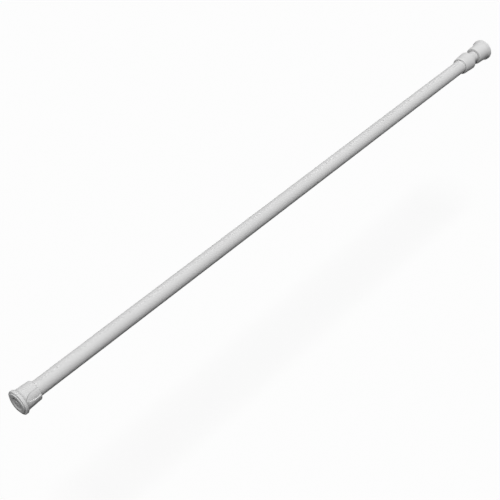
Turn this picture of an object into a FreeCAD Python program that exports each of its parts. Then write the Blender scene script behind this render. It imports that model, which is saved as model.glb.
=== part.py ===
import FreeCAD, Part
import math
import os

# A spring tension rod, wedged between two walls to carry a curtain. A thin tube slides in a thick one.
# A twist lock holds the two at a length, and a spring in the thin tube presses the end pads apart.
# The rod lies along +X, shut to its shortest, with the fixed end's pad face at x = 0. Sizes are in mm.

Vector = FreeCAD.Vector

# Whole rod
closed_length = 1026.0
bare_inner_length = 16.0      # inner tube between the collar and the sliding end's cap
spring_travel = 12.0          # how far the inner tube can be pushed in against the spring

# Tubes
outer_tube_diameter = 22.0
outer_tube_wall = 0.6
inner_tube_diameter = 19.0
inner_tube_wall = 0.6
crimp_depth = 0.5
crimp_width = 3.0

# End caps, measured from the pad's front face
cap_length = 29.7
cap_seat_depth = 7.0          # where the end of the tube sits
cap_lip_setback = 1.4
flange_radius = 17.7
flange_width = 3.8
flange_flank_length = 2.8
flange_front_rounding = 1.8
flange_back_rounding = 1.0
cone_root_radius = 15.4
cone_root_rounding = 6.0
cone_mouth_radius = 14.2
fixed_mouth_rounding = 1.4
sliding_mouth_rounding = 2.2

# Leaf-shaped recesses in the fixed end's cap
recess_count = 2
recess_length = 23.2
recess_tip_length = 13.5
recess_half_width = 6.2
recess_depth = 2.0
recess_turn = 141.5           # degrees about the axis, from +Y towards +Z

# Pads
pad_thickness = 3.2
pad_radius = 14.5
pad_edge_rounding = 0.9
pad_foot_radius = 15.4
pad_foot_thickness = 0.9
pad_dish_radius = 9.7
pad_dish_depth = 1.0
pad_boss_radius = 3.0
pad_stem_radius = 2.5
pad_stem_length = 3.2

# Collar on the outer tube
collar_length = 23.5
collar_front_radius = 13.9
collar_back_radius = 15.5
collar_front_rounding = 1.6
collar_back_rounding = 1.0
collar_lip_length = 4.0

# Lock spindle
spindle_end_space = 7.3       # free space between the fixed end's cap and the spindle
spindle_radius = 4.0
spindle_end_chamfer = 0.6
square_width = 7.0
square_corner_radius = 4.6    # the square bar's corners lie on this circle
shoulder_radius = 6.5
shoulder_thickness = 2.5
spigot_radius = 3.0
spigot_tail = 1.2             # what stands out of the piston nut

# Clip and washer
clip_setback = 2.0
clip_thickness = 0.9
clip_groove_depth = 0.8
clip_radius = 6.5
clip_opening = 4.6
washer_thickness = 1.2
washer_radius = 8.0

# Expander cone, a nut that the spindle draws into the sleeve
cone_nut_setback = 5.0
cone_nut_length = 16.0
cone_nut_small_radius = 5.6
cone_nut_chamfer = 0.5
cone_nut_stroke = 3.0
rib_count = 4
rib_width = 1.6
rib_radius = 9.4

# Expander sleeve with its fingers
sleeve_length = 30.0
sleeve_setback = 5.0          # how much of the cone stands out of the fingers
finger_tip_wall = 1.1         # under the ridges, at the tips of the fingers
hub_length = 10.0
slot_side_gap = 0.3
slot_end_distance = 2.0
ridge_count = 5
ridge_pitch = 2.4
ridge_depth = 0.45
drag_ring_thickness = 1.8
drag_groove_width = 2.1
drag_groove_depth = 1.75

# Guide plug in the mouth of the inner tube
plug_spare_length = 2.5       # what is left before the spindle's shoulder at full spring travel
plug_flange_thickness = 3.0
plug_length = 16.5

# Piston, nut and spring
piston_thickness = 4.0
piston_boss_length = 4.0
nut_thickness = 5.0
nut_flat_width = 10.0
spring_length = 90.0
spring_wire_diameter = 2.0
spring_active_turns = 11
spring_closed_turns = 1
spring_closed_gap = 0.1
stop_length = 12.0
stop_boss_length = 4.0

# Clearances
push_fit = 0.05               # plugs, caps and pads pushed into their seats, on the radius
running_fit = 0.1             # turning and screwed pieces, on the radius
slide_fit = 0.15              # inner tube in the collar and square bar in its plug, on the radius
bore_fit = 0.2                # sleeve, flange and piston in the tubes, on the radius
face_gap = 0.3                # between the flat faces of pieces that move apart
spring_fit = 0.6              # spring in the inner tube, on the radius
cone_gap = 0.85               # between the slack cone and the fingers, on the radius
beyond = 1.0                  # how far a cutting tool runs past what it cuts

# Radii that several pieces share
outer_radius = outer_tube_diameter / 2
outer_bore = outer_radius - outer_tube_wall
inner_radius = inner_tube_diameter / 2
inner_bore = inner_radius - inner_tube_wall
spring_outer_radius = inner_bore - spring_fit
spring_guide_radius = spring_outer_radius - spring_wire_diameter - bore_fit
sleeve_radius = outer_bore - bore_fit
finger_mouth_radius = sleeve_radius - ridge_depth - finger_tip_wall
cone_taper = (finger_mouth_radius - cone_gap - cone_nut_small_radius) / (cone_nut_length - sleeve_setback)
cone_nut_large_radius = finger_mouth_radius - cone_gap + cone_taper * sleeve_setback

# Places along the rod, in order from the fixed end
spindle_start = cap_seat_depth + spindle_end_space
clip_start = spindle_start + clip_setback
cone_nut_start = spindle_start + cone_nut_setback
cone_nut_end = cone_nut_start + cone_nut_length
sleeve_start = cone_nut_start + sleeve_setback
sleeve_end = sleeve_start + sleeve_length
hub_start = sleeve_end - hub_length
washer_start = sleeve_end + face_gap
shoulder_start = washer_start + washer_thickness
shoulder_end = shoulder_start + shoulder_thickness
plug_start = shoulder_end + spring_travel + plug_spare_length
inner_tube_start = plug_start + plug_flange_thickness
plug_end = inner_tube_start + plug_length
piston_start = plug_end + face_gap
spring_start = piston_start + piston_thickness + running_fit
piston_nut_start = piston_start + piston_thickness + piston_boss_length
spindle_end = piston_nut_start + nut_thickness + spigot_tail
stop_start = spring_start + spring_length
inner_tube_end = closed_length - cap_seat_depth
collar_end = closed_length - cap_length - bare_inner_length
collar_start = collar_end - collar_length
outer_tube_end = collar_end - collar_lip_length
plug_crimp = inner_tube_start + plug_length / 2
stop_crimp = stop_start + stop_length / 2


def turned(corners):
    """Solid turned about X from corners (x, radius, rounding) in order round its outline."""
    places = [Vector(x, radius, 0) for x, radius, rounding in corners]
    roundings = [rounding for x, radius, rounding in corners]
    stretches = []
    for index, (corner, rounding) in enumerate(zip(places, roundings)):
        if not rounding:
            stretches.append((corner, None, corner))
            continue
        back = (places[index - 1] - corner).normalize()
        ahead = (places[(index + 1) % len(places)] - corner).normalize()
        half_angle = back.getAngle(ahead) / 2
        reach = rounding / math.tan(half_angle)
        bisector = (back + ahead).normalize()
        middle = corner + bisector * (rounding / math.sin(half_angle) - rounding)
        stretches.append((corner + back * reach, middle, corner + ahead * reach))
    edges = []
    for index, (start, middle, stop) in enumerate(stretches):
        if middle:
            edges.append(Part.Arc(start, middle, stop).toShape())
        following = stretches[(index + 1) % len(stretches)][0]
        if stop.distanceToPoint(following) > 1e-6:
            edges.append(Part.LineSegment(stop, following).toShape())
    return Part.Face(Part.Wire(edges)).revolve(Vector(0, 0, 0), Vector(1, 0, 0), 360)


def ring(start, end, inner, outer):
    """Plain ring or tube between two places on the axis."""
    return turned([(start, inner, 0), (start, outer, 0), (end, outer, 0), (end, inner, 0)])


def rod(start, end, radius):
    """Plain round bar along the axis."""
    return Part.makeCylinder(radius, end - start, Vector(start, 0, 0), Vector(1, 0, 0))


def bar(start, end, width, height):
    """Rectangular bar along the axis, with its width along Y and its height along Z."""
    return Part.makeBox(end - start, width, height, Vector(start, -width / 2, -height / 2))


def turned_copies(shape, count, whole_turn=360.0):
    """Copies of a shape spaced evenly about the axis."""
    copies = []
    for index in range(count):
        copy = shape.copy()
        copy.rotate(Vector(0, 0, 0), Vector(1, 0, 0), index * whole_turn / count)
        copies.append(copy)
    return copies


def at_sliding_end(shape):
    """Turns an end piece about and carries it to the sliding end."""
    moved = shape.copy()
    moved.rotate(Vector(0, 0, 0), Vector(0, 0, 1), 180)
    moved.translate(Vector(closed_length, 0, 0))
    return moved


def crimped(radius, centre):
    """Corners of a rolled crimp that dips from a radius, in order along +X."""
    half = crimp_width / 2
    return [
        (centre - half, radius, 0),
        (centre - half / 2, radius - crimp_depth, 0),
        (centre + half / 2, radius - crimp_depth, 0),
        (centre + half, radius, 0),
    ]


def outer_tube():
    """Thick tube, from its seat in the cap to the lip of the collar."""
    return ring(cap_seat_depth, outer_tube_end, outer_bore, outer_radius)


def inner_tube():
    """Thin tube with a rolled crimp over each of its two plugs."""
    outside = [(inner_tube_start, inner_radius, 0)]
    inside = [(inner_tube_start, inner_bore, 0)]
    for centre in (plug_crimp, stop_crimp):
        outside += crimped(inner_radius, centre)
        inside += crimped(inner_bore, centre)
    outside.append((inner_tube_end, inner_radius, 0))
    inside.append((inner_tube_end, inner_bore, 0))
    return turned(outside + inside[::-1])


def recess_leaf():
    """Flat outline of a recess seen from outside: a pointed tongue along X that runs past the mouth."""
    tip = cap_length - recess_length
    shoulder = tip + recess_tip_length
    mouth = cap_length + beyond
    half = recess_half_width
    arc_radius = (recess_tip_length ** 2 + half ** 2) / (2 * half)
    half_sweep = math.asin(recess_tip_length / arc_radius) / 2
    middle = shoulder - arc_radius * math.sin(half_sweep)
    middle_half = half - arc_radius * (1 - math.cos(half_sweep))
    edges = [Part.LineSegment(Vector(mouth, half, 0), Vector(mouth, -half, 0)).toShape()]
    for side in (-1, 1):
        corner = Vector(shoulder, side * half, 0)
        edges.append(Part.Arc(Vector(tip, 0, 0), Vector(middle, side * middle_half, 0), corner).toShape())
        edges.append(Part.LineSegment(corner, Vector(mouth, side * half, 0)).toShape())
    return Part.Face(Part.Wire(Part.sortEdges(edges)[0]))


def recess_floor():
    """Cone that the recesses go down to, parallel to the outside of the cap."""
    cone_start = cap_lip_setback + flange_width + flange_flank_length
    slope = (cone_root_radius - cone_mouth_radius) / (cap_length - cone_start)
    front_radius = cone_root_radius - recess_depth + slope * cone_start
    end_radius = cone_mouth_radius - recess_depth - slope * beyond
    return Part.makeCone(front_radius, end_radius, cap_length + beyond, Vector(0, 0, 0), Vector(1, 0, 0))


def recess_cutter():
    """Tool for one leaf-shaped recess, of even depth and open at the mouth of the cap."""
    cutter = recess_leaf().extrude(Vector(0, 0, flange_radius)).cut(recess_floor())
    cutter.rotate(Vector(0, 0, 0), Vector(1, 0, 0), recess_turn - 90)
    return cutter


def end_cap(tube_radius, mouth_rounding):
    """Bell-shaped cap with a pocket for the pad in its flange and a blind bore for the tube."""
    lip = cap_lip_setback
    flange_back = lip + flange_width
    bore = tube_radius + push_fit
    pocket = pad_foot_radius + push_fit
    stem_hole = pad_stem_radius + push_fit
    return turned([
        (pad_thickness, stem_hole, 0),
        (pad_thickness, pocket, 0),
        (lip, pocket, 0),
        (lip, flange_radius, flange_front_rounding),
        (flange_back, flange_radius, flange_back_rounding),
        (flange_back + flange_flank_length, cone_root_radius, cone_root_rounding),
        (cap_length, cone_mouth_radius, mouth_rounding),
        (cap_length, bore, 0),
        (cap_seat_depth, bore, 0),
        (cap_seat_depth, stem_hole, 0),
    ])


def fixed_end_cap():
    """Cap on the outer tube, with its leaf-shaped recesses."""
    return end_cap(outer_radius, fixed_mouth_rounding).cut(turned_copies(recess_cutter(), recess_count))


def sliding_end_cap():
    """Plain cap on the inner tube."""
    return at_sliding_end(end_cap(inner_radius, sliding_mouth_rounding))


def end_pad():
    """Rubber pad: a raised ring, a dish and a centre boss in front, a foot and a stem behind."""
    foot_start = pad_thickness - pad_foot_thickness
    return turned([
        (0, 0, 0),
        (0, pad_boss_radius, 0),
        (pad_dish_depth, pad_boss_radius, 0),
        (pad_dish_depth, pad_dish_radius, 0),
        (0, pad_dish_radius, 0),
        (0, pad_radius, pad_edge_rounding),
        (foot_start, pad_radius, 0),
        (foot_start, pad_foot_radius, 0),
        (pad_thickness, pad_foot_radius, 0),
        (pad_thickness, pad_stem_radius, 0),
        (pad_thickness + pad_stem_length, pad_stem_radius, 0),
        (pad_thickness + pad_stem_length, 0, 0),
    ])


def collar():
    """Flared guide on the mouth of the outer tube. Its lip closes down to the inner tube."""
    guide = inner_radius + slide_fit
    seat = outer_radius + push_fit
    return turned([
        (collar_start, seat, 0),
        (collar_start, collar_front_radius, collar_front_rounding),
        (collar_end, collar_back_radius, collar_back_rounding),
        (collar_end, guide, 0),
        (outer_tube_end, guide, 0),
        (outer_tube_end, seat, 0),
    ])


def finger_bore(place):
    """Radius of the sleeve's tapered bore at a place on the axis, parallel to the slack cone."""
    return finger_mouth_radius - cone_taper * (place - sleeve_start)


def expander_sleeve():
    """Nylon sleeve: ridged fingers round a tapered bore, and a hub that turns on the spindle."""
    taper_end = cone_nut_end + cone_nut_stroke
    groove_start = hub_start + (hub_length - drag_groove_width) / 2
    groove_end = groove_start + drag_groove_width
    groove_radius = sleeve_radius - drag_groove_depth
    hub_bore = spindle_radius + slide_fit
    corners = [(sleeve_start, finger_bore(sleeve_start), 0)]
    for index in range(ridge_count):
        ridge_start = sleeve_start + index * ridge_pitch
        corners.append((ridge_start, sleeve_radius - ridge_depth, 0))
        corners.append((ridge_start + ridge_pitch, sleeve_radius, 0))
    corners += [
        (groove_start, sleeve_radius, 0),
        (groove_start, groove_radius, 0),
        (groove_end, groove_radius, 0),
        (groove_end, sleeve_radius, 0),
        (sleeve_end, sleeve_radius, 0),
        (sleeve_end, hub_bore, 0),
        (hub_start, hub_bore, 0),
        (hub_start, finger_bore(taper_end), 0),
        (taper_end, finger_bore(taper_end), 0),
    ]
    slot_width = rib_width + 2 * slot_side_gap
    slot = bar(sleeve_start - beyond, hub_start - slot_end_distance, slot_width, 2 * outer_radius)
    return turned(corners).cut(turned_copies(slot, rib_count // 2, 180.0))


def drag_ring():
    """Square rubber ring in the groove of the sleeve's hub."""
    start = hub_start + (hub_length - drag_ring_thickness) / 2
    outer = outer_bore - running_fit
    return ring(start, start + drag_ring_thickness, outer - drag_ring_thickness, outer)


def expander_cone():
    """Cone nut with ribs that run in the slots of the sleeve, so that it slides and doesn't turn."""
    bore = spindle_radius + running_fit
    cone = turned([
        (cone_nut_start, bore, 0),
        (cone_nut_start, cone_nut_large_radius - cone_nut_chamfer, 0),
        (cone_nut_start + cone_nut_chamfer, cone_nut_large_radius, 0),
        (cone_nut_end, cone_nut_small_radius, 0),
        (cone_nut_end, bore, 0),
    ])
    rib = bar(sleeve_start + slot_side_gap, cone_nut_end - cone_nut_chamfer, rib_width, 2 * rib_radius)
    ribs = turned_copies(rib, rib_count // 2, 180.0)
    return cone.fuse(ribs).cut(rod(cone_nut_start - beyond, cone_nut_end + beyond, bore))


def spindle():
    """Round and threaded to its shoulder, then a square bar, then a spigot for the piston."""
    clip_end = clip_start + clip_thickness
    groove = spindle_radius - clip_groove_depth
    round_part = turned([
        (spindle_start, 0, 0),
        (spindle_start, spindle_radius - spindle_end_chamfer, 0),
        (spindle_start + spindle_end_chamfer, spindle_radius, 0),
        (clip_start, spindle_radius, 0),
        (clip_start, groove, 0),
        (clip_end, groove, 0),
        (clip_end, spindle_radius, 0),
        (shoulder_start, spindle_radius, 0),
        (shoulder_start, shoulder_radius, 0),
        (shoulder_end, shoulder_radius, 0),
        (shoulder_end, spigot_radius, 0),
        (spindle_end, spigot_radius, 0),
        (spindle_end, 0, 0),
    ])
    square = bar(shoulder_end, piston_start, square_width, square_width)
    return round_part.fuse(square.common(rod(shoulder_end, piston_start, square_corner_radius)))


def retaining_clip():
    """Open steel clip in the groove at the end of the spindle."""
    clip_end = clip_start + clip_thickness
    whole = ring(clip_start, clip_end, spindle_radius - clip_groove_depth, clip_radius)
    opening = bar(clip_start - beyond, clip_end + beyond, clip_opening, clip_radius + beyond)
    opening.translate(Vector(0, 0, (clip_radius + beyond) / 2))
    return whole.cut(opening)


def thrust_washer():
    """Steel washer against the spindle's shoulder."""
    return ring(washer_start, shoulder_start, spindle_radius + running_fit, washer_radius)


def guide_plug():
    """Nylon plug in the mouth of the inner tube, with a stop flange and a square hole."""
    body_radius = inner_bore - push_fit
    plug = turned(
        [(plug_start, 0, 0), (plug_start, outer_bore - bore_fit, 0)]
        + [(inner_tube_start, outer_bore - bore_fit, 0), (inner_tube_start, body_radius, 0)]
        + crimped(body_radius, plug_crimp)
        + [(plug_end, body_radius, 0), (plug_end, 0, 0)]
    )
    hole_width = square_width + 2 * slide_fit
    start, stop = plug_start - beyond, plug_end + beyond
    hole = bar(start, stop, hole_width, hole_width).common(rod(start, stop, square_corner_radius + slide_fit))
    return plug.cut(hole)


def piston():
    """Spring seat with a boss that centres the spring."""
    bore = spigot_radius + push_fit
    seat_end = piston_start + piston_thickness
    return turned([
        (piston_start, bore, 0),
        (piston_start, inner_bore - bore_fit, 0),
        (seat_end, inner_bore - bore_fit, 0),
        (seat_end, spring_guide_radius, 0),
        (piston_nut_start, spring_guide_radius, 0),
        (piston_nut_start, bore, 0),
    ])


def piston_nut():
    """Hexagon nut on the spigot."""
    corner_radius = nut_flat_width / math.sqrt(3)
    angles = [math.radians(60 * index) for index in range(7)]
    corners = [
        Vector(piston_nut_start, corner_radius * math.cos(angle), corner_radius * math.sin(angle))
        for angle in angles
    ]
    hexagon = Part.Face(Part.makePolygon(corners)).extrude(Vector(nut_thickness, 0, 0))
    nut_end = piston_nut_start + nut_thickness
    return hexagon.cut(rod(piston_nut_start - beyond, nut_end + beyond, spigot_radius + push_fit))


def spring_stop():
    """Plug crimped in the inner tube, with a boss that centres the spring."""
    body_radius = inner_bore - push_fit
    stop_end = stop_start + stop_length
    return turned(
        [(stop_start - stop_boss_length, 0, 0), (stop_start - stop_boss_length, spring_guide_radius, 0)]
        + [(stop_start, spring_guide_radius, 0), (stop_start, body_radius, 0)]
        + crimped(body_radius, stop_crimp)
        + [(stop_end, body_radius, 0), (stop_end, 0, 0)]
    )


def spring():
    """Compression spring with a closed turn at each end."""
    wire_radius = spring_wire_diameter / 2
    coil_radius = spring_outer_radius - wire_radius
    closed_pitch = spring_wire_diameter + spring_closed_gap
    active_height = spring_length - spring_wire_diameter - 2 * closed_pitch * spring_closed_turns
    stretches = [
        (closed_pitch, spring_closed_turns),
        (active_height / spring_active_turns, spring_active_turns),
        (closed_pitch, spring_closed_turns),
    ]
    edges = []
    height = wire_radius
    for pitch, turns in stretches:
        helix = Part.makeHelix(pitch, pitch * turns, coil_radius)
        helix.translate(Vector(0, 0, height))
        edges += helix.Edges
        height += pitch * turns
    section = Part.makeCircle(wire_radius, Vector(coil_radius, 0, wire_radius), Vector(0, 1, 0))
    coil = Part.Wire(edges).makePipeShell([Part.Wire(section)], True, True)
    coil.rotate(Vector(0, 0, 0), Vector(0, 1, 0), 90)
    coil.translate(Vector(spring_start, 0, 0))
    return coil


nodes = {
    "outer_tube": outer_tube(),
    "collar": collar(),
    "fixed_end_cap": fixed_end_cap(),
    "fixed_end_pad": end_pad(),
    "expander_sleeve": expander_sleeve(),
    "drag_ring": drag_ring(),
    "expander_cone": expander_cone(),
    "spindle": spindle(),
    "retaining_clip": retaining_clip(),
    "thrust_washer": thrust_washer(),
    "piston": piston(),
    "piston_nut": piston_nut(),
    "inner_tube": inner_tube(),
    "guide_plug": guide_plug(),
    "spring": spring(),
    "spring_stop": spring_stop(),
    "sliding_end_cap": sliding_end_cap(),
    "sliding_end_pad": at_sliding_end(end_pad()),
}

os.makedirs("parts", exist_ok=True)
for name, shape in nodes.items():
    shape.exportStep(f"parts/{name}.step")
    size = shape.BoundBox
    print(name, shape.isValid(), len(shape.Solids), round(shape.Volume, 1),
          "x", round(size.XMin, 2), round(size.XMax, 2), "z", round(size.ZMin, 2), round(size.ZMax, 2))
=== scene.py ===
import math

import bmesh
import bpy
import numpy as np
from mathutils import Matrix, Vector


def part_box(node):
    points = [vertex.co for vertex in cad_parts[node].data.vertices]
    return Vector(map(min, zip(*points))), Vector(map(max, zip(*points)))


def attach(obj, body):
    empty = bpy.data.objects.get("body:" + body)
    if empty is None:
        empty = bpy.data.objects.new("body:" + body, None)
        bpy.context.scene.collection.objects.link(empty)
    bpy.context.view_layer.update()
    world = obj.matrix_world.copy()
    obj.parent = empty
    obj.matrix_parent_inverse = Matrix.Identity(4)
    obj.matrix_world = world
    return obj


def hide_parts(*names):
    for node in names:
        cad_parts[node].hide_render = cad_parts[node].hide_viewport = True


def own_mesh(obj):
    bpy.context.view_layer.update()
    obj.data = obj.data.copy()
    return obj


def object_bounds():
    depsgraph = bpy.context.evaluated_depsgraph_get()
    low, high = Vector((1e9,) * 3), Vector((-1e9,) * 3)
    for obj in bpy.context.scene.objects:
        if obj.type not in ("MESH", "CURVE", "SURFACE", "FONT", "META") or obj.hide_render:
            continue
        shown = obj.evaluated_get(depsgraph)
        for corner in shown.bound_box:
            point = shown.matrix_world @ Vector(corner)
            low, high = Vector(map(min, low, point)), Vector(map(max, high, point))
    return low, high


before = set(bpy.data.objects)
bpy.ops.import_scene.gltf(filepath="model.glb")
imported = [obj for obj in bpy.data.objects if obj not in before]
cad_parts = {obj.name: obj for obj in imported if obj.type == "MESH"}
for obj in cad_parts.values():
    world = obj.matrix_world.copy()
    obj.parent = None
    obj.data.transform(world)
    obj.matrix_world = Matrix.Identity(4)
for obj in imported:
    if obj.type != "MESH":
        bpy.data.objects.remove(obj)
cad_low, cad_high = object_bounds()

# Outer tube
# The thick half of the rod: 0.6 mm steel strip, rolled round and seam welded, then powder coated
# satin white. Both ends are cut square and lie hidden, in the cap and in the collar.

mm = 0.001
same_point = 1e-6  # points closer than this, in mm, are one
outline_step, tube_step = 6.0, 20.0  # longest straight stretch in mm of a turned mesh, of a tube


def rounded(corners, step=outline_step, arc_steps=6):
    """Points of a closed outline in mm, from (x, radius, rounding) corners, in short stretches."""
    places = [np.array(corner[:2], float) for corner in corners]
    points = []
    for index, (corner, (_, _, rounding)) in enumerate(zip(places, corners)):
        if not rounding:
            points.append(corner)
            continue
        back = places[index - 1] - corner
        ahead = places[(index + 1) % len(places)] - corner
        back /= np.linalg.norm(back)
        ahead /= np.linalg.norm(ahead)
        half_angle = math.acos(np.clip(back @ ahead, -1, 1)) / 2
        bisector = (back + ahead) / np.linalg.norm(back + ahead)
        centre = corner + bisector * rounding / math.sin(half_angle)
        first = corner + back * rounding / math.tan(half_angle) - centre
        last = corner + ahead * rounding / math.tan(half_angle) - centre
        sweep = math.pi - 2 * half_angle
        for turn in np.linspace(0, 1, arc_steps + 1):
            of_first, of_last = math.sin((1 - turn) * sweep), math.sin(turn * sweep)
            points.append(centre + (first * of_first + last * of_last) / math.sin(sweep))
    cut = []
    for start, stop in zip(points, points[1:] + points[:1]):
        length = np.linalg.norm(stop - start)
        if length > same_point:
            pieces = max(1, math.ceil(length / step - same_point))
            cut += [start + (stop - start) * index / pieces for index in range(pieces)]
    return cut


def mesh_piece(name, points, faces, sharp_degrees=35):
    """Object from points in mm and faces, its normals out, with sharp edges past an angle."""
    mesh = bpy.data.meshes.new(name)
    mesh.from_pydata([tuple(point) for point in np.asarray(points) * mm], [], faces)
    build = bmesh.new()
    build.from_mesh(mesh)
    bmesh.ops.recalc_face_normals(build, faces=build.faces)
    build.to_mesh(mesh)
    build.free()
    mesh.polygons.foreach_set("use_smooth", [True] * len(mesh.polygons))
    mesh.set_sharp_from_angle(angle=math.radians(sharp_degrees))
    piece = bpy.data.objects.new(name, mesh)
    bpy.context.scene.collection.objects.link(piece)
    return piece


def turned_shape(outline, sides=96, reshape=None):
    """Points and faces turned about X from a closed outline. reshape(x, y, z) moves each ring."""
    points, faces, rings = [], [], []
    angles = np.arange(sides) * 2 * math.pi / sides
    for x, radius in outline:
        start = len(points)
        if radius < same_point:
            points.append((x, 0.0, 0.0))
            rings.append([start] * sides)
            continue
        ring = np.full(sides, float(x)), radius * np.cos(angles), radius * np.sin(angles)
        points += list(zip(*(reshape(*ring) if reshape else ring)))
        rings.append(list(range(start, start + sides)))
    for ring, following in zip(rings, rings[1:] + rings[:1]):
        for side in range(sides):
            other = (side + 1) % sides
            corners = [ring[side], ring[other], following[other], following[side]]
            corners = list(dict.fromkeys(corners))
            if len(corners) > 2:
                faces.append(corners)
    return points, faces


def turned(name, outline, sides=96, reshape=None):
    """Object turned about X from a closed outline in mm."""
    return mesh_piece(name, *turned_shape(outline, sides, reshape))


def linear(hex_colour):
    """Linear RGBA of an sRGB hex colour, by the sRGB curve."""
    rgba = []
    for place in (1, 3, 5):
        part = int(hex_colour[place:place + 2], 16) / 255
        rgba.append(part / 12.92 if part <= 0.04045 else ((part + 0.055) / 1.055) ** 2.4)
    return rgba + [1.0]


def new_material(name):
    """Empty node material and its tree."""
    material = bpy.data.materials.new(name)
    material.use_nodes = True
    material.node_tree.nodes.clear()
    return material, material.node_tree


def add(tree, kind, inputs=None, **settings):
    """Adds a shader node. inputs gives its sockets values, or other nodes' outputs to link."""
    node = tree.nodes.new("ShaderNode" + kind)
    for name, value in settings.items():
        setattr(node, name, value)
    for name, value in (inputs or {}).items():
        if isinstance(value, bpy.types.NodeSocket):
            tree.links.new(value, node.inputs[name])
        else:
            node.inputs[name].default_value = value
    return node


def powder_coat(name, rubbed=False):
    """Satin white powder coat on steel: a soft even sheen over a very fine orange peel. Where
    another piece slides on it, it is rubbed smoother in lengthwise lines, gone faintly grey."""
    peel_mm, cloud_mm, rub_line_mm = 1.4, 70.0, 0.7
    peel_height_mm = 0.006
    along = 0.01  # how fast the rub lines change along the rod, against across
    polish = 0.15  # how much smoother a rubbed line is
    material, tree = new_material(name)
    place = add(tree, "TexCoord").outputs["Object"]
    peel = add(tree, "TexNoise", {"Vector": place, "Scale": 1 / (peel_mm * mm), "Detail": 2.0})
    cloud = add(tree, "TexNoise", {"Vector": place, "Scale": 1 / (cloud_mm * mm), "Detail": 3.0})
    peel = peel.outputs["Fac"]
    colour = add(tree, "ValToRGB", {"Fac": cloud.outputs["Fac"]})
    for stop, at, shade in zip(colour.color_ramp.elements, (0.3, 0.7), ("#DBDBDB", "#DFDFDF")):
        stop.position, stop.color = at, linear(shade)
    colour = colour.outputs["Color"]
    gloss = add(tree, "MapRange", {"Value": peel, "To Min": 0.5, "To Max": 0.6}).outputs["Result"]
    if rubbed:
        lines = add(tree, "Mapping", {"Vector": place, "Scale": (along, 1.0, 1.0)})
        lines = add(tree, "TexNoise", {
            "Vector": lines.outputs["Vector"], "Scale": 1 / (rub_line_mm * mm), "Detail": 2.0,
        })
        wear = add(tree, "MapRange", {
            "Value": lines.outputs["Fac"], "From Min": 0.5, "From Max": 0.75,
        }).outputs["Result"]
        colour = add(tree, "MixRGB", {"Fac": wear, "Color1": colour, "Color2": linear("#CDCDCD")})
        colour = colour.outputs["Color"]
        gloss = add(tree, "Math", {0: wear, 1: -polish, 2: gloss}, operation="MULTIPLY_ADD")
        gloss = gloss.outputs[0]
    bump = add(tree, "Bump", {"Height": peel, "Strength": 0.5, "Distance": peel_height_mm * mm})
    surface = add(tree, "BsdfPrincipled", {
        "Base Color": colour,
        "Roughness": gloss,
        "Normal": bump.outputs["Normal"],
        "IOR": 1.5,
        "Specular IOR Level": 0.12,
    })
    add(tree, "OutputMaterial", {"Surface": surface.outputs["BSDF"]})
    return material


def galvanised_strip():
    """Bare strip in the tubes, galvanised at the mill: dull light metal, streaked lengthwise."""
    streak_mm, cloud_mm = 0.4, 15.0
    streak_depth_mm = 0.004
    along = 0.02  # how fast the streaks change along the rod, against across
    material, tree = new_material("galvanised_steel_strip")
    place = add(tree, "TexCoord").outputs["Object"]
    streaks = add(tree, "Mapping", {"Vector": place, "Scale": (along, 1.0, 1.0)})
    streaks = add(tree, "TexNoise", {
        "Vector": streaks.outputs["Vector"], "Scale": 1 / (streak_mm * mm), "Detail": 3.0,
    }).outputs["Fac"]
    cloud = add(tree, "TexNoise", {"Vector": place, "Scale": 1 / (cloud_mm * mm), "Detail": 3.0})
    colour = add(tree, "ValToRGB", {"Fac": cloud.outputs["Fac"]})
    for stop, at, shade in zip(colour.color_ramp.elements, (0.3, 0.7), ("#A9ADB0", "#BABDC0")):
        stop.position, stop.color = at, linear(shade)
    gloss = add(tree, "MapRange", {"Value": streaks, "To Min": 0.35, "To Max": 0.55})
    bump = add(tree, "Bump", {"Height": streaks, "Strength": 0.5, "Distance": streak_depth_mm * mm})
    surface = add(tree, "BsdfPrincipled", {
        "Base Color": colour.outputs["Color"],
        "Metallic": 1.0,
        "Roughness": gloss.outputs["Result"],
        "Normal": bump.outputs["Normal"],
    })
    add(tree, "OutputMaterial", {"Surface": surface.outputs["BSDF"]})
    return material


low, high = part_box("outer_tube")
tube_start, tube_end, tube_radius = low.x / mm, high.x / mm, high.z / mm
tube_wall = 0.6
tube_bore = tube_radius - tube_wall
cut_edge = 0.1  # rounding of a cut steel edge
outer_tube = turned("outer_tube_shell", rounded([
    (tube_start, tube_bore, cut_edge),
    (tube_start, tube_radius, cut_edge),
    (tube_end, tube_radius, cut_edge),
    (tube_end, tube_bore, cut_edge),
], step=tube_step, arc_steps=2), sides=160)
mill_steel = galvanised_strip()


def finish_tube(tube, coat, bore_limit):
    """Coats a tube's outside and ends, and leaves its bore bare, inside a radius in its wall."""
    tube.data.materials.append(coat)
    tube.data.materials.append(mill_steel)
    for face in tube.data.polygons:
        face.material_index = int(math.hypot(face.center.y, face.center.z) < bore_limit * mm)


finish_tube(outer_tube, powder_coat("powder_coated_steel"), tube_radius - tube_wall / 2)
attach(outer_tube, "outer")
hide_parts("outer_tube")

# Fixed end's cap
# Bell-shaped cap, injection moulded in firm matt white PVC and pushed on the tube. Its flange
# spreads the load on the wall, and leaf-shaped recesses let the mouth stretch over the tube.


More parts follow.
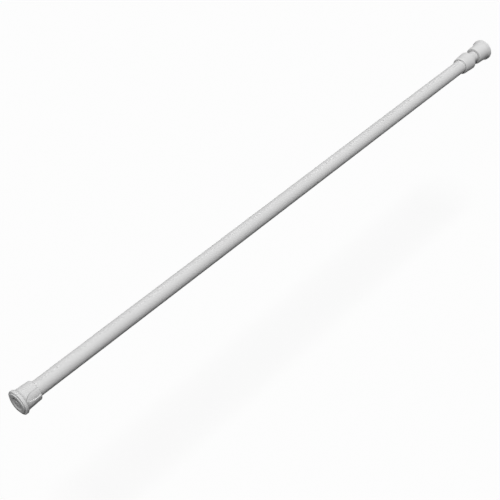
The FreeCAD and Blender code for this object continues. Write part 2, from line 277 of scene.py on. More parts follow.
def moulded_pvc():
    """White PVC, moulded: an even colour with a fine spark-eroded grain from the tool."""
    grain_mm, cloud_mm = 0.25, 12.0
    grain_height_mm = 0.004
    material, tree = new_material("moulded_white_pvc")
    place = add(tree, "TexCoord").outputs["Object"]
    grain = add(tree, "TexNoise", {"Vector": place, "Scale": 1 / (grain_mm * mm), "Detail": 2.0})
    cloud = add(tree, "TexNoise", {"Vector": place, "Scale": 1 / (cloud_mm * mm), "Detail": 3.0})
    grain = grain.outputs["Fac"]
    colour = add(tree, "ValToRGB", {"Fac": cloud.outputs["Fac"]})
    for stop, at, shade in zip(colour.color_ramp.elements, (0.3, 0.7), ("#DDDDDD", "#E1E1E1")):
        stop.position, stop.color = at, linear(shade)
    gloss = add(tree, "MapRange", {"Value": grain, "To Min": 0.45, "To Max": 0.58})
    bump = add(tree, "Bump", {"Height": grain, "Strength": 0.5, "Distance": grain_height_mm * mm})
    surface = add(tree, "BsdfPrincipled", {
        "Base Color": colour.outputs["Color"],
        "Roughness": gloss.outputs["Result"],
        "Normal": bump.outputs["Normal"],
        "IOR": 1.53,
        "Specular IOR Level": 0.12,
    })
    add(tree, "OutputMaterial", {"Surface": surface.outputs["BSDF"]})
    return material


low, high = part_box("fixed_end_cap")
cap_front, cap_mouth, flange_radius = low.x / mm, high.x / mm, high.z / mm
cap_seat, push_fit = tube_start, 0.05
pad_pocket_depth, pad_pocket_radius, stem_hole_radius = 3.2, 15.45, 2.55
pad_lip_depth, pad_lip_radius = 2.25, 14.7
flange_width, flank_length = 3.8, 2.8
cone_root_radius, cone_mouth_radius = 15.4, 14.2
fine_edge, soft_edge = 0.2, 0.3  # roundings of the small edges of mouldings
flange_front_edge, flange_back_edge, flank_hollow = 0.9, 1.0, 6.0
recess_length, recess_tip_length, recess_half_width = 23.2, 13.5, 6.2
recess_side_depth, recess_lip_depths = 0.5, (1.7, 0.8)  # faint side; lip, from tip to mouth
recess_side_blend, recess_lip_wall = 2.4, 0.4  # widths over which the two sides fall to the floor
recess_turn = math.radians(141.5)


def cap_outline(bore, mouth_edge, step=1.0):
    """Outline of a cap in mm, from its pad pocket round the flange and cone to its blind bore."""
    flange_back = cap_front + flange_width
    return rounded([
        (pad_pocket_depth, stem_hole_radius, 0),
        (pad_pocket_depth, pad_pocket_radius, 0),
        (pad_lip_depth, pad_pocket_radius, 0),
        (pad_lip_depth, pad_lip_radius, fine_edge),
        (cap_front, pad_lip_radius, soft_edge),
        (cap_front, flange_radius, flange_front_edge),
        (flange_back, flange_radius, flange_back_edge),
        (flange_back + flank_length, cone_root_radius, flank_hollow),
        (cap_mouth, cone_mouth_radius, mouth_edge),
        (cap_mouth, bore, fine_edge),
        (cap_seat, bore, 0),
        (cap_seat, stem_hole_radius, 0),
    ], step=step, arc_steps=8)


def leaf_recess(x, y, z):
    """Sinks two pointed tongues in the cone, open at the mouth and deepest along one side's lip."""
    radius = np.hypot(y, z)
    if radius[0] < (tube_radius + cone_mouth_radius) / 2:
        return x, y, z  # a ring of the bore
    tip = cap_mouth - recess_length
    arc_radius = (recess_tip_length ** 2 + recess_half_width ** 2) / (2 * recess_half_width)
    before_widest = max(tip + recess_tip_length - x[0], 0)
    half_width = math.sqrt(max(arc_radius ** 2 - before_widest ** 2, 0))
    half_width += recess_half_width - arc_radius
    lip_depth = np.interp(x[0], (tip, cap_mouth), recess_lip_depths)
    cone_start = cap_front + flange_width + flank_length
    slope = (cone_root_radius - cone_mouth_radius) / (cap_mouth - cone_start)
    for turn in (recess_turn, recess_turn + math.pi):
        inwards = y * math.cos(turn) + z * math.sin(turn)
        across = z * math.cos(turn) - y * math.sin(turn)
        wall = np.where(across > 0, recess_lip_wall, recess_side_blend)
        share = np.clip((half_width - np.abs(across)) / wall, 0, 1) * (inwards > 0)
        share = share * share * (3 - 2 * share)  # eases the wall in at its top and its foot
        towards_lip = np.clip((1 + across / recess_half_width) / 2, 0, 1)
        depth = recess_side_depth + (lip_depth - recess_side_depth) * towards_lip
        floor_radius = cone_mouth_radius - depth + slope * (cap_mouth - x[0])
        floor = np.sqrt(np.maximum(floor_radius ** 2 - across ** 2, 0))
        drop = np.maximum(inwards - floor, 0) * share
        y, z = y - drop * math.cos(turn), z - drop * math.sin(turn)
    return x, y, z


white_pvc = moulded_pvc()
fixed_outline = cap_outline(tube_radius + push_fit, mouth_edge=1.4, step=0.35)
fixed_cap = turned("fixed_end_bell", fixed_outline, sides=360, reshape=leaf_recess)
fixed_cap.data.materials.append(white_pvc)
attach(fixed_cap, "outer")
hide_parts("fixed_end_cap")

# Fixed end's pad
# Moulded grey rubber disc pressed in the flange. Its raised ring bears on the wall, round a shallow
# dish with a low boss in the middle. A wide foot and a stem behind it hold it in the cap.

pad_radius, pad_foot_radius, pad_foot = 14.5, 15.4, 0.9
dish_radius, dish_floor_radius, dish_depth = 9.7, 7.2, 1.0
boss_radius, boss_setback, boss_draft = 3.0, 0.72, 0.3
stem_radius, stem_length = 2.5, 3.2
ring_edge, dish_edge, dish_hollow, boss_hollow = 0.7, 1.0, 2.0, 0.15


def pad_outline():
    """Outline of a pad in mm, from the middle of its face to the end of its stem."""
    foot_start = pad_pocket_depth - pad_foot
    stem_end = pad_pocket_depth + stem_length
    return rounded([
        (boss_setback, 0, 0),
        (boss_setback, boss_radius, soft_edge),
        (dish_depth, boss_radius + boss_draft, boss_hollow),
        (dish_depth, dish_floor_radius, dish_hollow),
        (0, dish_radius, dish_edge),
        (0, pad_radius, ring_edge),
        (foot_start, pad_radius, soft_edge),
        (foot_start, pad_foot_radius, fine_edge),
        (pad_pocket_depth, pad_foot_radius, fine_edge),
        (pad_pocket_depth, stem_radius, 0),
        (stem_end, stem_radius, soft_edge),
        (stem_end, 0, 0),
    ], step=1.5)


def grip_rubber(name, dark, light):
    """Matt moulded rubber: dull, slightly mottled and finely pitted."""
    pit_mm, mottle_mm = 0.3, 5.0
    pit_depth_mm = 0.01
    material, tree = new_material(name)
    place = add(tree, "TexCoord").outputs["Object"]
    pits = add(tree, "TexNoise", {"Vector": place, "Scale": 1 / (pit_mm * mm), "Detail": 3.0})
    mottle = add(tree, "TexNoise", {"Vector": place, "Scale": 1 / (mottle_mm * mm), "Detail": 4.0})
    pits, mottle = pits.outputs["Fac"], mottle.outputs["Fac"]
    colour = add(tree, "ValToRGB", {"Fac": mottle})
    for stop, at, shade in zip(colour.color_ramp.elements, (0.35, 0.65), (dark, light)):
        stop.position, stop.color = at, linear(shade)
    gloss = add(tree, "MapRange", {"Value": mottle, "To Min": 0.72, "To Max": 0.86})
    bump = add(tree, "Bump", {"Height": pits, "Strength": 0.6, "Distance": pit_depth_mm * mm})
    surface = add(tree, "BsdfPrincipled", {
        "Base Color": colour.outputs["Color"],
        "Roughness": gloss.outputs["Result"],
        "Normal": bump.outputs["Normal"],
        "IOR": 1.52,
        "Specular IOR Level": 0.15,
    })
    add(tree, "OutputMaterial", {"Surface": surface.outputs["BSDF"]})
    return material


pad_rubber = grip_rubber("moulded_grey_rubber", "#C9C9C9", "#D1D1D1")
fixed_pad = turned("fixed_end_grip", pad_outline(), sides=128)
fixed_pad.data.materials.append(pad_rubber)
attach(fixed_pad, "outer")
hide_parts("fixed_end_pad")

# Expander sleeve
# Nylon sleeve of the twist lock, injection moulded. Four ridged fingers round a tapered bore grip
# the outer tube when the cone is drawn in, and the hub behind them turns on the spindle.


def natural_nylon():
    """Natural nylon, moulded: milky off-white, slightly translucent, with a soft sheen."""
    flow_mm, grain_mm = 6.0, 0.2
    grain_height_mm = 0.004
    material, tree = new_material("moulded_natural_nylon")
    place = add(tree, "TexCoord").outputs["Object"]
    flow = add(tree, "TexNoise", {
        "Vector": place, "Scale": 1 / (flow_mm * mm), "Detail": 3.0, "Distortion": 0.8,
    })
    grain = add(tree, "TexNoise", {"Vector": place, "Scale": 1 / (grain_mm * mm), "Detail": 2.0})
    grain = grain.outputs["Fac"]
    colour = add(tree, "ValToRGB", {"Fac": flow.outputs["Fac"]})
    for stop, at, shade in zip(colour.color_ramp.elements, (0.3, 0.7), ("#E3DFD2", "#ECE9DF")):
        stop.position, stop.color = at, linear(shade)
    gloss = add(tree, "MapRange", {"Value": grain, "To Min": 0.3, "To Max": 0.42})
    bump = add(tree, "Bump", {"Height": grain, "Strength": 0.5, "Distance": grain_height_mm * mm})
    surface = add(tree, "BsdfPrincipled", {
        "Base Color": colour.outputs["Color"],
        "Roughness": gloss.outputs["Result"],
        "Normal": bump.outputs["Normal"],
        "IOR": 1.53,
        "Subsurface Weight": 0.15,
        "Subsurface Radius": (1.0 * mm, 0.9 * mm, 0.7 * mm),
    })
    add(tree, "OutputMaterial", {"Surface": surface.outputs["BSDF"]})
    return material


def split_shape(outline, gaps, gap_width, sides=24):
    """Points and faces of a turned outline in mm, cut through by evenly spaced parallel gaps."""
    points, faces = [], []
    sector = 2 * math.pi / gaps
    for index in range(gaps):
        start = len(points)
        for x, radius in outline:
            edge = math.asin(min(gap_width / 2 / radius, 1))
            for angle in np.linspace(edge, sector - edge, sides + 1) + index * sector:
                points.append((x, radius * math.cos(angle), radius * math.sin(angle)))
        rings = np.arange(start, len(points)).reshape(len(outline), sides + 1).tolist()
        for ring, following in zip(rings, rings[1:] + rings[:1]):
            for side in range(sides):
                faces.append([ring[side], ring[side + 1], following[side + 1], following[side]])
        faces.append([ring[0] for ring in rings])
        faces.append([ring[-1] for ring in rings])
    return points, faces


low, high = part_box("expander_sleeve")
sleeve_start, sleeve_end, sleeve_radius = low.x / mm, high.x / mm, high.z / mm
finger_count, slot_width, slot_end_distance = 4, 2.2, 2.0
ridge_count, ridge_pitch, ridge_depth, ridge_root_edge, ridge_tip_edge = 5, 2.4, 0.45, 0.1, 0.15
finger_mouth_radius, finger_root_radius, taper_length = 8.65, 5.85, 14.0
hub_length, hub_bore, hub_end_edge = 10.0, 4.15, 0.4
groove_width, groove_depth, groove_mouth_edge = 2.1, 1.75, 0.15
hub_start = sleeve_end - hub_length
slot_end = hub_start - slot_end_distance
groove_start = hub_start + hub_length / 2 - groove_width / 2
groove_end = hub_start + hub_length / 2 + groove_width / 2

ridges = []
for index in range(ridge_count):
    ridge_start = sleeve_start + index * ridge_pitch
    ridges.append((ridge_start, sleeve_radius - ridge_depth, ridge_root_edge))
    ridges.append((ridge_start + ridge_pitch, sleeve_radius, ridge_tip_edge))
finger_outline = rounded([
    (sleeve_start, finger_mouth_radius, fine_edge),
    *ridges,
    (slot_end, sleeve_radius, 0),
    (slot_end, finger_root_radius, 0),
    (sleeve_start + taper_length, finger_root_radius, soft_edge),
], step=1.5, arc_steps=3)
hub_outline = rounded([
    (slot_end, finger_root_radius, 0),
    (slot_end, sleeve_radius, 0),
    (groove_start, sleeve_radius, groove_mouth_edge),
    (groove_start, sleeve_radius - groove_depth, fine_edge),
    (groove_end, sleeve_radius - groove_depth, fine_edge),
    (groove_end, sleeve_radius, groove_mouth_edge),
    (sleeve_end, sleeve_radius, hub_end_edge),
    (sleeve_end, hub_bore, soft_edge),
    (hub_start, hub_bore, soft_edge),
    (hub_start, finger_root_radius, fine_edge),
], step=1.5, arc_steps=3)
points, faces = split_shape(finger_outline, finger_count, slot_width)
hub_points, hub_faces = turned_shape(hub_outline)
faces += [[index + len(points) for index in face] for face in hub_faces]
sleeve = mesh_piece("ridged_expander_sleeve", points + hub_points, faces)
nylon = natural_nylon()
sleeve.data.materials.append(nylon)
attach(sleeve, "lock_shoe")
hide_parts("expander_sleeve")

# Drag ring
# Square-cut ring of soft black rubber in the hub's groove. It drags on the tube, so that the sleeve
# stays still while the spindle is turned.

low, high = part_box("drag_ring")
drag_start, drag_end, drag_radius, drag_thickness = low.x / mm, high.x / mm, high.z / mm, 1.8
drag_ring = turned("square_drag_ring", rounded([
    (drag_start, drag_radius - drag_thickness, fine_edge),
    (drag_start, drag_radius, soft_edge),
    (drag_end, drag_radius, soft_edge),
    (drag_end, drag_radius - drag_thickness, fine_edge),
], arc_steps=4), sides=128)
drag_ring.data.materials.append(grip_rubber("moulded_black_rubber", "#1C1C1C", "#262626"))
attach(drag_ring, "lock_shoe")
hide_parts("drag_ring")

# Expander cone
# Tapered nylon nut with four ribs, which run in the sleeve's slots. The spindle's thread draws it
# into the fingers and spreads them.

low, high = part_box("expander_cone")
cone_start, cone_end = low.x / mm, high.x / mm
cone_large_radius, cone_small_radius, cone_bore, cone_edge = 8.8, 5.6, 4.1, 0.5
rib_start, rib_end = sleeve_start + 0.3, cone_end - 0.5
rib_foot_radius, rib_radius, rib_width = cone_bore + 0.5, high.z / mm, 1.6


def block_shape(low_corner, high_corner, edge=fine_edge):
    """Points and faces of a block in mm with its edges bevelled."""
    build = bmesh.new()
    bmesh.ops.create_cube(build, size=1.0)
    low_corner, high_corner = Vector(low_corner), Vector(high_corner)
    for vertex in build.verts:
        share = vertex.co + Vector((0.5, 0.5, 0.5))
        vertex.co = low_corner + Vector([a * b for a, b in zip(high_corner - low_corner, share)])
    bmesh.ops.bevel(build, geom=build.edges[:], offset=edge, segments=2, affect="EDGES")
    build.verts.index_update()
    points = [tuple(vertex.co) for vertex in build.verts]
    faces = [[vertex.index for vertex in face.verts] for face in build.faces]
    build.free()
    return points, faces


points, faces = turned_shape(rounded([
    (cone_start, cone_bore, fine_edge),
    (cone_start, cone_large_radius, cone_edge),
    (cone_end, cone_small_radius, cone_edge),
    (cone_end, cone_bore, fine_edge),
], step=2.0))
rib_points, rib_faces = block_shape(
    (rib_start, -rib_width / 2, rib_foot_radius), (rib_end, rib_width / 2, rib_radius))
for rib in range(finger_count):
    turn = 2 * math.pi * rib / finger_count
    faces += [[index + len(points) for index in face] for face in rib_faces]
    points += [(x, y * math.cos(turn) - z * math.sin(turn), y * math.sin(turn) + z * math.cos(turn))
               for x, y, z in rib_points]
cone_nut = mesh_piece("ribbed_cone_nut", points, faces)
cone_nut.data.materials.append(nylon)
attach(cone_nut, "lock_cone")
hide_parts("expander_cone")

# Spindle
# Turned steel spindle of the lock, zinc plated. A coarse thread runs up to the hub, then comes a
# shoulder, and a square bar that turns with the inner tube. Its spigot carries the piston.


def zinc_plate():
    """Bright zinc plating on steel: cool grey metal, faintly clouded, with fine turning marks."""
    cloud_mm, mark_mm = 2.5, 0.12
    mark_depth_mm = 0.002
    around = 0.04  # how fast the turning marks change round the bar, against along it
    material, tree = new_material("zinc_plated_steel")
    place = add(tree, "TexCoord").outputs["Object"]
    marks = add(tree, "Mapping", {"Vector": place, "Scale": (1.0, around, around)})
    marks = add(tree, "TexNoise", {
        "Vector": marks.outputs["Vector"], "Scale": 1 / (mark_mm * mm), "Detail": 2.0,
    }).outputs["Fac"]
    cloud = add(tree, "TexNoise", {"Vector": place, "Scale": 1 / (cloud_mm * mm), "Detail": 4.0})
    cloud = cloud.outputs["Fac"]
    colour = add(tree, "ValToRGB", {"Fac": cloud})
    for stop, at, shade in zip(colour.color_ramp.elements, (0.3, 0.7), ("#B9BDC2", "#CBCED1")):
        stop.position, stop.color = at, linear(shade)
    gloss = add(tree, "MapRange", {"Value": cloud, "To Min": 0.25, "To Max": 0.42})
    bump = add(tree, "Bump", {"Height": marks, "Strength": 0.4, "Distance": mark_depth_mm * mm})
    surface = add(tree, "BsdfPrincipled", {
        "Base Color": colour.outputs["Color"],
        "Metallic": 1.0,
        "Roughness": gloss.outputs["Result"],
        "Normal": bump.outputs["Normal"],
    })
    add(tree, "OutputMaterial", {"Surface": surface.outputs["BSDF"]})
    return material


low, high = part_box("spindle")
spindle_start, spindle_end, shoulder_radius = low.x / mm, high.x / mm, high.z / mm
spindle_radius, spigot_radius, clip_groove_radius = 4.0, 3.0, 3.2
nose_chamfer, shoulder_chamfer, spigot_chamfer = 0.6, 0.3, 0.5
clip_start, clip_end = [corner.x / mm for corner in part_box("retaining_clip")]
thread_start, thread_end, thread_pitch = spindle_start + 3.4, hub_start - 1.5, 2.0
thread_root_radius, ridge_foot_width, ridge_crest_width = 3.3, 1.5, 0.8
ridge_sink = 0.2  # how deep the ridge's foot goes in the bar
relief_slope = 0.5  # length of the slopes from the bar down to the thread's root
shoulder_start, shoulder_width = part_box("thrust_washer")[1].x / mm, 2.5
shoulder_end = shoulder_start + shoulder_width
square_end, square_width, square_corner_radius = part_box("piston")[0].x / mm, 7.0, 4.6
ring_gap = 0.01  # between the two rings of a square step, in mm
steps_per_turn = 48


def flats(radius, angle, count, width):
    """Radius of a round bar once flats are cut on it, to a width across between opposite sides."""
    sector = 2 * math.pi / count
    return np.minimum(radius, width / 2 / np.cos((angle + sector / 2) % sector - sector / 2))


def square_bar(x, y, z):
    """Cuts the four flats of the spindle's square stretch."""
    radius, angle = np.hypot(y, z), np.arctan2(z, y)
    if shoulder_end < x[0] < square_end:
        radius = flats(radius, angle, 4, square_width)
    return x, radius * np.cos(angle), radius * np.sin(angle)


def coil_shape(steps):
    """Points and faces of a bar wound about X. steps: (turns so far, [(x, radius), ...])."""
    points, faces = [], []
    for turns, section in steps:
        across, down = math.sin(2 * math.pi * turns), -math.cos(2 * math.pi * turns)
        points += [(x, radius * across, radius * down) for x, radius in section]
    size = len(section)
    for first in range(0, len(points) - size, size):
        for side in range(size):
            other = (side + 1) % size
            faces.append([first + side, first + other, first + size + other, first + size + side])
    faces.append(list(range(size)))
    faces.append(list(range(len(points) - size, len(points))))
    return points, faces


spindle_outline = [
    (spindle_start, 0),
    (spindle_start, spindle_radius - nose_chamfer),
    (spindle_start + nose_chamfer, spindle_radius),
    (clip_start, spindle_radius),
    (clip_start, clip_groove_radius),
    (clip_end, clip_groove_radius),
    (clip_end, spindle_radius),
    (thread_start, spindle_radius),
    (thread_start + relief_slope, thread_root_radius),
    (thread_end - relief_slope, thread_root_radius),
    (thread_end, spindle_radius),
    (shoulder_start, spindle_radius),
    (shoulder_start, shoulder_radius - shoulder_chamfer),
    (shoulder_start + shoulder_chamfer, shoulder_radius),
    (shoulder_end - shoulder_chamfer, shoulder_radius),
    (shoulder_end, shoulder_radius - shoulder_chamfer),
    (shoulder_end + ring_gap, square_corner_radius),
    (square_end - ring_gap, square_corner_radius),
    (square_end, spigot_radius),
    (spindle_end - spigot_chamfer, spigot_radius),
    (spindle_end, spigot_radius - spigot_chamfer),
    (spindle_end, 0),
]
points, faces = turned_shape(spindle_outline, reshape=square_bar)
thread = []
thread_turns = (thread_end - thread_start) / thread_pitch - 1
least_rise = 0.05  # share of its height that the ridge has at its very ends
for turns in np.linspace(0, thread_turns, round(thread_turns * steps_per_turn)):
    middle = thread_start + thread_pitch * (turns + 0.5)
    rise = min(1, min(turns, thread_turns - turns) + least_rise)  # the ridge runs out at both ends
    crest_radius = thread_root_radius + (spindle_radius - thread_root_radius) * rise
    thread.append((turns, [
        (middle - ridge_foot_width / 2, thread_root_radius - ridge_sink),
        (middle - ridge_crest_width / 2, crest_radius),
        (middle + ridge_crest_width / 2, crest_radius),
        (middle + ridge_foot_width / 2, thread_root_radius - ridge_sink),
    ]))
thread_points, thread_faces = coil_shape(thread)
faces += [[index + len(points) for index in face] for face in thread_faces]
spindle = mesh_piece("threaded_spindle", points + thread_points, faces)
zinc_steel = zinc_plate()
spindle.data.materials.append(zinc_steel)
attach(spindle, "spindle")
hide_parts("spindle")

# Retaining clip and thrust washer
# Stamped from sheet steel and zinc plated. The clip snaps in the groove at the spindle's end and
# keeps the cone nut on. The washer takes the pull of the shoulder on the sleeve.

low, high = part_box("retaining_clip")
clip_radius, clip_opening, stamped_edge = -low.z / mm, 4.6, 0.15
points, faces = split_shape(rounded([
    (clip_start, clip_groove_radius, cut_edge),
    (clip_start, clip_radius, stamped_edge),
    (clip_end, clip_radius, stamped_edge),
    (clip_end, clip_groove_radius, cut_edge),
], arc_steps=3), gaps=1, gap_width=clip_opening, sides=96)
points = [(x, -z, y) for x, y, z in points]  # opens upwards
clip = mesh_piece("open_retaining_clip", points, faces)
clip.data.materials.append(zinc_steel)
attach(clip, "spindle")
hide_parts("retaining_clip")

low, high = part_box("thrust_washer")
washer_start, washer_end, washer_radius, washer_bore = low.x / mm, high.x / mm, high.z / mm, 4.1
washer = turned("steel_thrust_washer", rounded([
    (washer_start, washer_bore, cut_edge),
    (washer_start, washer_radius, fine_edge),
    (washer_end, washer_radius, fine_edge),
    (washer_end, washer_bore, cut_edge),
], arc_steps=3))
washer.data.materials.append(zinc_steel)
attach(washer, "spindle")
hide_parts("thrust_washer")

# Piston and its nut
# The piston is a nylon seat that the spring pushes on, held on the spigot by a zinc-plated hexagon
# nut with chamfered corners.

low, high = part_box("piston")
piston_start, piston_end, piston_radius, piston_bore = low.x / mm, high.x / mm, high.z / mm, 3.05
spring_guide_radius, spring_guide_length = 6.1, 4.0
piston_edge, spring_guide_edge = 0.5, 0.8
piston = turned("spring_piston", rounded([
    (piston_start, piston_bore, fine_edge),
    (piston_start, piston_radius, piston_edge),
    (piston_end - spring_guide_length, piston_radius, soft_edge),
    (piston_end - spring_guide_length, spring_guide_radius, soft_edge),
    (piston_end, spring_guide_radius, spring_guide_edge),
    (piston_end, piston_bore, fine_edge),
], step=2.0))
piston.data.materials.append(nylon)
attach(piston, "spindle")
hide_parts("piston")

low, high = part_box("piston_nut")
nut_start, nut_end, nut_flat_width = low.x / mm, high.x / mm, 10.0
nut_corner_radius, nut_face_radius = nut_flat_width / math.sqrt(3), nut_flat_width / 2 - 0.1
nut_chamfer, nut_bore_chamfer = 0.5, 0.3
nut_sharp_degrees = 8  # keeps the low edges between flats and chamfers crisp
nut_outline = [
    (nut_start, piston_bore + nut_bore_chamfer),
    (nut_start, nut_face_radius),
    (nut_start + nut_chamfer, nut_corner_radius),
    (nut_end - nut_chamfer, nut_corner_radius),
    (nut_end, nut_face_radius),
    (nut_end, piston_bore + nut_bore_chamfer),
    (nut_end - nut_bore_chamfer, piston_bore),
    (nut_start + nut_bore_chamfer, piston_bore),
]


def hexagon(x, y, z):
    """Cuts six flats on the nut, with a corner on the Y axis."""
    radius, angle = np.hypot(y, z), np.arctan2(z, y)
    radius = flats(radius, angle - math.pi / 6, 6, nut_flat_width)
    return x, radius * np.cos(angle), radius * np.sin(angle)


nut_points, nut_faces = turned_shape(nut_outline, sides=144, reshape=hexagon)
nut = mesh_piece("hexagon_piston_nut", nut_points, nut_faces, nut_sharp_degrees)
nut.data.materials.append(zinc_steel)
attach(nut, "spindle")
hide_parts("piston_nut")

# Inner tube
# The thin half of the rod, rolled and coated like the outer one. The collar slides on it, and rubs
# its coat lengthwise. Two rolled crimps grip the plugs inside it.

low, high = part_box("inner_tube")
inner_start, inner_end, inner_radius = low.x / mm, high.x / mm, high.z / mm
inner_bore = inner_radius - tube_wall
crimp_middles = (inner_start + 8.25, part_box("spring_stop")[1].x / mm - 6.0)
crimp_width, crimp_depth, crimp_steps = 3.0, 0.5, 16


def crimp_line(radius, start, stop, step=tube_step):
    """Line along +X at a radius, in mm, that dips smoothly at each crimp between its ends."""
    places = list(np.arange(start, stop, step)) + [stop]
    for middle in crimp_middles:
        if start < middle < stop:
            places += list(middle + np.linspace(-crimp_width / 2, crimp_width / 2, crimp_steps + 1))
    line = []
    for x in sorted(places):
        off = min(abs(x - middle) for middle in crimp_middles) / (crimp_width / 2)
        line.append((x, radius - crimp_depth * (1 + math.cos(math.pi * min(off, 1))) / 2))
    return line


outside = crimp_line(inner_radius, inner_start, inner_end)
inside = crimp_line(inner_bore, inner_start, inner_end)
inner_tube = turned("inner_tube_shell", outside + inside[::-1], sides=144)
rubbed_coat = powder_coat("rubbed_powder_coated_steel", rubbed=True)
finish_tube(inner_tube, rubbed_coat, inner_radius - crimp_depth - tube_wall / 2)
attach(inner_tube, "inner")
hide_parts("inner_tube")

# Guide plug and spring stop
# Two nylon plugs crimped in the inner tube. The guide plug has a stop flange and a square hole for
# the spindle's bar, and the spring stop has a boss that centres the spring.

low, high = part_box("guide_plug")
plug_start, plug_end, plug_flange_radius = low.x / mm, high.x / mm, high.z / mm
plug_body_radius, plug_chamfer, plug_front_chamfer = inner_bore - push_fit, 0.3, 0.4
hole_width, hole_corner_radius = 7.3, 4.75


def square_hole(x, y, z):
    """Turns the round hole of the plug square, with its corners rounded."""
    radius, angle = np.hypot(y, z), np.arctan2(z, y)
    if radius[0] < hole_corner_radius + 2 * plug_chamfer:
        square = flats(np.full_like(radius, hole_corner_radius), angle, 4, hole_width)
        radius = radius - hole_corner_radius + square
    return x, radius * np.cos(angle), radius * np.sin(angle)


guide_plug = turned("square_hole_guide_plug", [
    (plug_start, hole_corner_radius + plug_chamfer),
    (plug_start, plug_flange_radius - plug_front_chamfer),
    (plug_start + plug_front_chamfer, plug_flange_radius),
    (inner_start - plug_chamfer, plug_flange_radius),
    (inner_start, plug_flange_radius - plug_chamfer),
    *crimp_line(plug_body_radius, inner_start + ring_gap, plug_end - plug_chamfer),
    (plug_end, plug_body_radius - plug_chamfer),
    (plug_end, hole_corner_radius + plug_chamfer),
    (plug_end - plug_chamfer, hole_corner_radius),
    (plug_start + plug_chamfer, hole_corner_radius),
], sides=144, reshape=square_hole)
guide_plug.data.materials.append(nylon)
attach(guide_plug, "inner")
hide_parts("guide_plug")

low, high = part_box("spring_stop")
stop_start, stop_end, stop_chamfer = low.x / mm, high.x / mm, 0.5
stop_boss_end = stop_start + spring_guide_length
spring_stop = turned("crimped_spring_stop", [
    (stop_start, 0),
    (stop_start, spring_guide_radius - spring_guide_edge),
    (stop_start + spring_guide_edge, spring_guide_radius),
    (stop_boss_end, spring_guide_radius),
    (stop_boss_end + ring_gap, plug_body_radius - plug_chamfer),
    *crimp_line(plug_body_radius, stop_boss_end + plug_chamfer, stop_end - stop_chamfer),
    (stop_end, plug_body_radius - stop_chamfer),
    (stop_end, 0),
])
spring_stop.data.materials.append(nylon)
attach(spring_stop, "inner")
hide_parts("spring_stop")

# Spring
# Cold-coiled compression spring of 2 mm music wire with a closed turn at each end. It stands on the
# stop, and shortens from 90 to 78 mm as the inner tube is pushed in.


def drawn_spring_steel():
    """Drawn and oiled spring wire: dark grey metal with a dull shine and faint die marks."""
    mark_mm, cloud_mm = 0.15, 4.0
    mark_depth_mm = 0.002
    material, tree = new_material("oiled_spring_steel")
    place = add(tree, "TexCoord").outputs["Object"]
    marks = add(tree, "TexNoise", {"Vector": place, "Scale": 1 / (mark_mm * mm), "Detail": 2.0})
    cloud = add(tree, "TexNoise", {"Vector": place, "Scale": 1 / (cloud_mm * mm), "Detail": 3.0})
    marks, cloud = marks.outputs["Fac"], cloud.outputs["Fac"]
    colour = add(tree, "ValToRGB", {"Fac": cloud})
    for stop, at, shade in zip(colour.color_ramp.elements, (0.3, 0.7), ("#6A6A6C", "#808082")):
        stop.position, stop.color = at, linear(shade)
    gloss = add(tree, "MapRange", {"Value": cloud, "To Min": 0.32, "To Max": 0.5})
    bump = add(tree, "Bump", {"Height": marks, "Strength": 0.4, "Distance": mark_depth_mm * mm})
    surface = add(tree, "BsdfPrincipled", {
        "Base Color": colour.outputs["Color"],
        "Metallic": 1.0,
        "Roughness": gloss.outputs["Result"],
        "Normal": bump.outputs["Normal"],
    })
    add(tree, "OutputMaterial", {"Surface": surface.outputs["BSDF"]})
    return material


low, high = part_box("spring")
spring_start, spring_end = low.x / mm, high.x / mm
wire_radius, wire_sides, spring_fit = 1.0, 20, 0.6
closed_pitch, active_turns = 2.1, 11
coil_radius = inner_bore - spring_fit - wire_radius
active_pitch = (spring_end - spring_start - 2 * wire_radius - 2 * closed_pitch) / active_turns
wire = [(wire_radius * math.sin(angle), wire_radius * math.cos(angle))
        for angle in np.arange(wire_sides) * 2 * math.pi / wire_sides]
coil = []
for step in range((active_turns + 2) * steps_per_turn + 1):
    turns = step / steps_per_turn
    active = min(max(turns - 1, 0), active_turns)
    middle = spring_start + wire_radius + closed_pitch * (turns - active) + active_pitch * active
    coil.append((turns, [(middle + x, coil_radius + radius) for x, radius in wire]))
spring = mesh_piece("coil_spring", *coil_shape(coil))
spring.data.materials.append(drawn_spring_steel())
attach(spring, "inner")
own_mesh(spring)
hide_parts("spring")

# Collar
# Flared guide ring on the mouth of the outer tube, moulded in the same white plastic as the caps.
# Its lip closes down to the inner tube, guides it and stops its plug from coming out.

low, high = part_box("collar")
collar_start, collar_end, collar_bore = low.x / mm, high.x / mm, 9.65
collar_back_radius, collar_front_radius = 13.9, 15.5
collar_back_edge, collar_front_edge, collar_lip_edge = 1.6, 1.0, 0.4
collar = turned("collar_ring", rounded([
    (collar_start, tube_radius + push_fit, soft_edge),
    (collar_start, collar_back_radius, collar_back_edge),
    (collar_end, collar_front_radius, collar_front_edge),
    (collar_end, collar_bore, collar_lip_edge),
    (tube_end, collar_bore, fine_edge),
    (tube_end, tube_radius + push_fit, 0),
], step=1.5), sides=192)
collar.data.materials.append(white_pvc)
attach(collar, "outer")
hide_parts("collar")

# Sliding end's cap and pad
# The same bell as at the fixed end, bored for the thinner tube and moulded without recesses, with
# the same pad in its flange.


def at_sliding_end(piece):
    """Turns an end piece about, in its mesh, and carries it to the sliding end."""
    for vertex in piece.data.vertices:
        vertex.co = Vector((cad_high.x - vertex.co.x, -vertex.co.y, vertex.co.z))
    return piece


sliding_outline = cap_outline(inner_radius + push_fit, mouth_edge=2.2)
sliding_cap = at_sliding_end(turned("sliding_end_bell", sliding_outline, sides=192))
sliding_cap.data.materials.append(white_pvc)
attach(sliding_cap, "inner")
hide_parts("sliding_end_cap")

sliding_pad = at_sliding_end(turned("sliding_end_grip", pad_outline(), sides=128))
sliding_pad.data.materials.append(pad_rubber)
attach(sliding_pad, "inner")
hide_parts("sliding_end_pad")

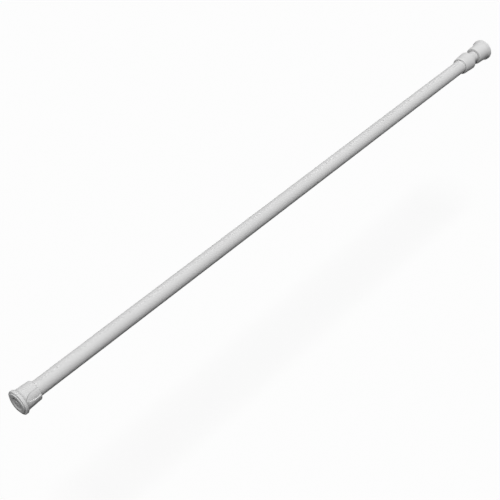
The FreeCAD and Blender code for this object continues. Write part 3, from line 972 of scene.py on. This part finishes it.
# Studio
# The rod hangs over a pale floor under one soft lamp above and to its left, in a dim even light
# from the room, as in a catalogue picture. The floor is far below, so its shadow stays faint.

floor_drop, floor_radius, floor_fade_start, floor_fade_end = 0.45, 6.0, 1.3, 3.0  # in metres
floor_sides = 96
rod_middle = (cad_low + cad_high) / 2
backdrop_white = linear("#FDFDFD")


def seen_as_backdrop(tree):
    """1 for the rays that show the backdrop itself: direct, in a reflection or through glass."""
    rays = add(tree, "LightPath").outputs
    seen = rays["Is Camera Ray"]
    for ray in ("Is Glossy Ray", "Is Transmission Ray"):
        seen = add(tree, "Math", {0: seen, 1: rays[ray]}, operation="MAXIMUM").outputs[0]
    return seen


floor_material, tree = new_material("studio_floor")
place = add(tree, "TexCoord").outputs["Object"]
distance = add(tree, "VectorMath", {0: place}, operation="LENGTH").outputs["Value"]
fade = add(tree, "MapRange", {
    "Value": distance, "From Min": floor_fade_start, "From Max": floor_fade_end,
}, interpolation_type="SMOOTHSTEP")
glow = add(tree, "Emission", {"Color": backdrop_white, "Strength": 0.82})
paint = add(tree, "BsdfDiffuse", {"Color": linear("#767676")})
near = add(tree, "AddShader", {0: glow.outputs[0], 1: paint.outputs[0]})
far = add(tree, "Emission", {"Color": backdrop_white, "Strength": 1.0})
shown = add(tree, "MixShader", {0: fade.outputs["Result"], 1: near.outputs[0], 2: far.outputs[0]})
black = add(tree, "BsdfDiffuse", {"Color": linear("#000000")})
both = add(tree, "MixShader", {0: seen_as_backdrop(tree), 1: black.outputs[0], 2: shown.outputs[0]})
add(tree, "OutputMaterial", {"Surface": both.outputs[0]})

floor_mesh = bpy.data.meshes.new("floor")
floor_mesh.from_pydata(
    [(floor_radius * math.cos(turn), floor_radius * math.sin(turn), 0)
     for turn in np.arange(floor_sides) * 2 * math.pi / floor_sides],
    [], [list(range(floor_sides))],
)
floor_mesh.materials.append(floor_material)
floor = bpy.data.objects.new("floor", floor_mesh)
floor.location = (rod_middle.x, rod_middle.y, -floor_drop)
bpy.context.scene.collection.objects.link(floor)

world = bpy.data.worlds.new("studio")
world.use_nodes = True
world.node_tree.nodes.clear()
tree = world.node_tree
dome_strength = 0.2
height = add(tree, "SeparateXYZ", {0: add(tree, "TexCoord").outputs["Generated"]}).outputs["Z"]
overhead = add(tree, "Math", {0: height, 1: 0.0}, operation="GREATER_THAN")
dome = add(tree, "Math", {0: overhead.outputs[0], 1: dome_strength}, operation="MULTIPLY")
room = add(tree, "Background", {"Color": linear("#FFFFFF"), "Strength": dome.outputs[0]})
white = add(tree, "Background", {"Color": backdrop_white, "Strength": 1.0})
both = add(tree, "MixShader", {0: seen_as_backdrop(tree), 1: room.outputs[0], 2: white.outputs[0]})
add(tree, "OutputWorld", {"Surface": both.outputs[0]})
bpy.context.scene.world = world

lamp_data = bpy.data.lights.new("softbox", "SUN")
lamp_data.angle = math.radians(15)
lamp_data.energy = 2.51
lamp_direction = Vector((0.229, 0.184, -1.0))
lamp = bpy.data.objects.new("softbox", lamp_data)
lamp.rotation_mode = "QUATERNION"
lamp.rotation_quaternion = lamp_direction.to_track_quat("-Z", "Y")
bpy.context.scene.collection.objects.link(lamp)

# Camera
# It stands in front of the fixed end, above the rod, and looks down along it, so the far end is
# smaller. Its place, aim and lens come from the rod's outlines and end rings in the photograph.

camera_data = bpy.data.cameras.new("camera")
focal_length_px, image_width_px = 1120.0, 500.0
camera_data.sensor_width = 36.0
camera_data.lens = camera_data.sensor_width * focal_length_px / image_width_px
camera_direction = Vector((0.5308, 0.4777, -0.7000))
camera = bpy.data.objects.new("camera", camera_data)
camera.location = (-0.4402, -0.7820, 1.0987)
camera.rotation_mode = "QUATERNION"
camera.rotation_quaternion = camera_direction.to_track_quat("-Z", "Y")
bpy.context.scene.collection.objects.link(camera)
bpy.context.scene.camera = camera
bpy.context.scene.view_settings.view_transform = "Standard"
